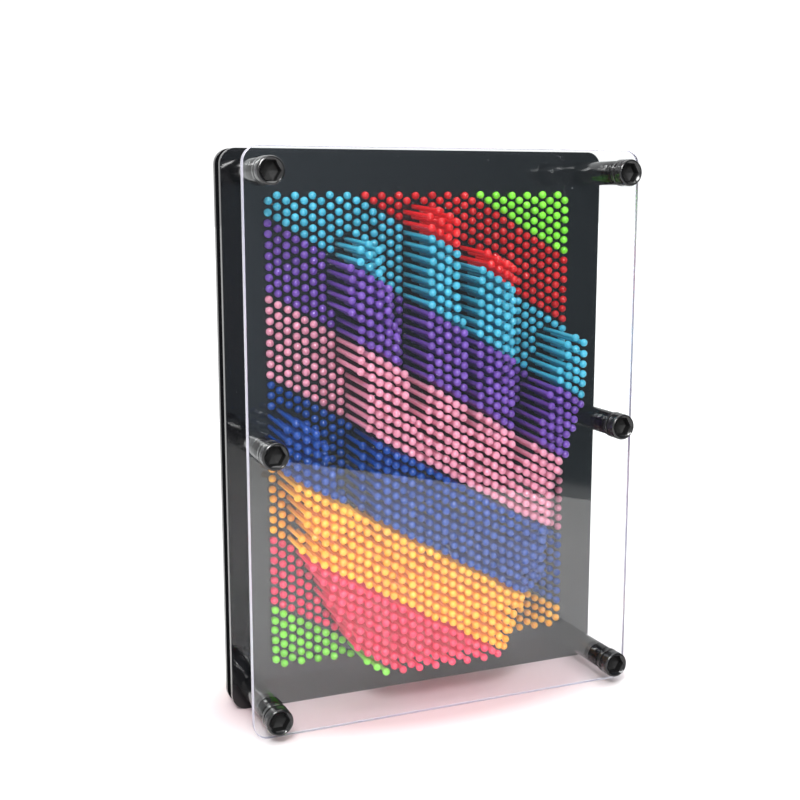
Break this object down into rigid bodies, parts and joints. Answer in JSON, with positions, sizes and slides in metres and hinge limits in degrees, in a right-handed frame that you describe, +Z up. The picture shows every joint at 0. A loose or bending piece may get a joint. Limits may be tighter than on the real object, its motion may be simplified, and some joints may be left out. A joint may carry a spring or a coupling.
{
  "type": "pin art impression toy",
  "caption": "Desk pin art toy: coloured plastic pins slide through two black boards behind a clear cover and hold the relief of a pressed hand.",
  "frame": {"origin": "centre of the bounding box's base: on the surface it stands on, below the middle of the front pin board's front face", "axes": "+Z up, -Y towards the front (clear cover), +X to the right seen from the front"},
  "size_m": [0.148, 0.0678, 0.2],
  "materials": {
    "clear_acrylic": "clear polished acrylic sheet",
    "black_board": "glossy black acrylic, a little dusty",
    "black_post": "semi-gloss black moulded plastic",
    "black_bolt": "satin black moulded plastic with hexagonal sockets",
    "pin_lime": "semi-gloss lime moulded plastic",
    "pin_red": "semi-gloss red moulded plastic",
    "pin_cyan": "semi-gloss cyan moulded plastic",
    "pin_purple": "semi-gloss purple moulded plastic",
    "pin_pink": "semi-gloss pink moulded plastic",
    "pin_blue": "semi-gloss blue moulded plastic",
    "pin_yellow": "semi-gloss yellow moulded plastic",
    "pin_crimson": "semi-gloss crimson moulded plastic"
  },
  "bodies": {
    "frame": {"clear_cover": "clear_acrylic", "front_pin_board": "black_board", "rear_pin_board": "black_board", "cover_posts": "black_post", "board_spacers": "black_post", "tie_bolts": "black_bolt", "rear_nuts": "black_post"},
    "rest_upper_lime_pins": {"rest_upper_lime_pins": "pin_lime"},
    "rest_red_pins": {"rest_red_pins": "pin_red"},
    "rest_cyan_pins": {"rest_cyan_pins": "pin_cyan"},
    "rest_purple_pins": {"rest_purple_pins": "pin_purple"},
    "rest_pink_pins": {"rest_pink_pins": "pin_pink"},
    "rest_blue_pins": {"rest_blue_pins": "pin_blue"},
    "rest_yellow_pins": {"rest_yellow_pins": "pin_yellow"},
    "rest_crimson_pins": {"rest_crimson_pins": "pin_crimson"},
    "rest_lower_lime_pins": {"rest_lower_lime_pins": "pin_lime"},
    "thumb_pins": {"thumb_blue_pins": "pin_blue", "thumb_yellow_pins": "pin_yellow"},
    "index_pins": {"index_cyan_pins": "pin_cyan", "index_purple_pins": "pin_purple", "index_pink_pins": "pin_pink", "index_blue_pins": "pin_blue"},
    "middle_pins": {"middle_red_pins": "pin_red", "middle_cyan_pins": "pin_cyan", "middle_purple_pins": "pin_purple", "middle_pink_pins": "pin_pink"},
    "ring_pins": {"ring_red_pins": "pin_red", "ring_cyan_pins": "pin_cyan", "ring_purple_pins": "pin_purple", "ring_pink_pins": "pin_pink"},
    "little_pins": {"little_cyan_pins": "pin_cyan", "little_purple_pins": "pin_purple", "little_pink_pins": "pin_pink"},
    "palm_pins": {"palm_pink_pins": "pin_pink", "palm_blue_pins": "pin_blue", "palm_yellow_pins": "pin_yellow", "palm_crimson_pins": "pin_crimson", "palm_lower_lime_pins": "pin_lime"}
  },
  "joints": [
    {"name": "rest_upper_lime_pins_slide", "type": "slide", "parent": "frame", "child": "rest_upper_lime_pins", "axis": [0, -1, 0], "range_m": [0, 0.0219]},
    {"name": "rest_red_pins_slide", "type": "slide", "parent": "frame", "child": "rest_red_pins", "axis": [0, -1, 0], "range_m": [0, 0.0219]},
    {"name": "rest_cyan_pins_slide", "type": "slide", "parent": "frame", "child": "rest_cyan_pins", "axis": [0, -1, 0], "range_m": [0, 0.0219]},
    {"name": "rest_purple_pins_slide", "type": "slide", "parent": "frame", "child": "rest_purple_pins", "axis": [0, -1, 0], "range_m": [0, 0.0219]},
    {"name": "rest_pink_pins_slide", "type": "slide", "parent": "frame", "child": "rest_pink_pins", "axis": [0, -1, 0], "range_m": [0, 0.0219]},
    {"name": "rest_blue_pins_slide", "type": "slide", "parent": "frame", "child": "rest_blue_pins", "axis": [0, -1, 0], "range_m": [0, 0.0219]},
    {"name": "rest_yellow_pins_slide", "type": "slide", "parent": "frame", "child": "rest_yellow_pins", "axis": [0, -1, 0], "range_m": [0, 0.0219]},
    {"name": "rest_crimson_pins_slide", "type": "slide", "parent": "frame", "child": "rest_crimson_pins", "axis": [0, -1, 0], "range_m": [0, 0.0219]},
    {"name": "rest_lower_lime_pins_slide", "type": "slide", "parent": "frame", "child": "rest_lower_lime_pins", "axis": [0, -1, 0], "range_m": [0, 0.0219]},
    {"name": "thumb_pins_slide", "type": "slide", "parent": "frame", "child": "thumb_pins", "axis": [0, -1, 0], "range_m": [-0.0182, 0.0024]},
    {"name": "index_pins_slide", "type": "slide", "parent": "frame", "child": "index_pins", "axis": [0, -1, 0], "range_m": [-0.0191, 0.0005]},
    {"name": "middle_pins_slide", "type": "slide", "parent": "frame", "child": "middle_pins", "axis": [0, -1, 0], "range_m": [-0.0191, 0.0004]},
    {"name": "ring_pins_slide", "type": "slide", "parent": "frame", "child": "ring_pins", "axis": [0, -1, 0], "range_m": [-0.0196, 0.0004]},
    {"name": "little_pins_slide", "type": "slide", "parent": "frame", "child": "little_pins", "axis": [0, -1, 0], "range_m": [-0.0203, 0.0005]},
    {"name": "palm_pins_slide", "type": "slide", "parent": "frame", "child": "palm_pins", "axis": [0, -1, 0], "range_m": [-0.0119, 0.001]}
  ]
}
